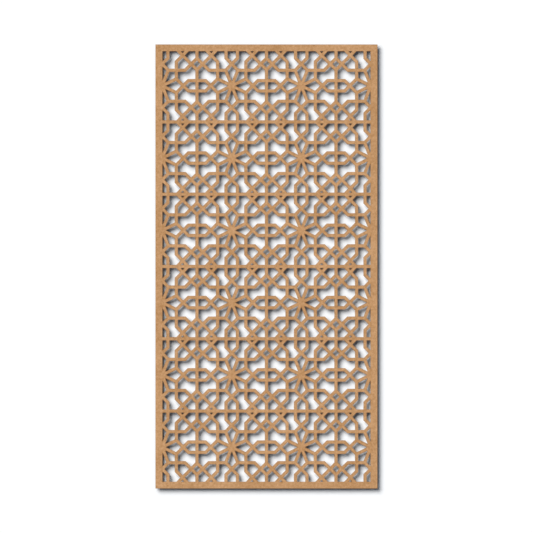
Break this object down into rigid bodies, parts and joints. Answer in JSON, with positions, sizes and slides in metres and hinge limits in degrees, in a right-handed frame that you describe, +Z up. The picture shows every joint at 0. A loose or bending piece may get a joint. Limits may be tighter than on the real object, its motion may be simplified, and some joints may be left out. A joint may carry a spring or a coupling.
{
  "type": "mashrabiya screen",
  "caption": "Flat rectangular board pierced with a star and knotted strap lattice inside a plain border, to screen a window or face a wall.",
  "frame": {"origin": "middle of the flat back face, on the crossing of the middle row bar and the middle upright strap", "axes": "+Z up along the panel's height, +X across its width, +Y out of the back face, so the front looks towards -Y"},
  "size_m": [0.6, 0.006, 1.2],
  "materials": {
    "mdf": "raw medium-density fibreboard, matte, with laser-cut walls"
  },
  "bodies": {
    "root": {"screen_lower": "mdf", "screen_middle": "mdf", "screen_upper": "mdf"}
  },
  "joints": []
}
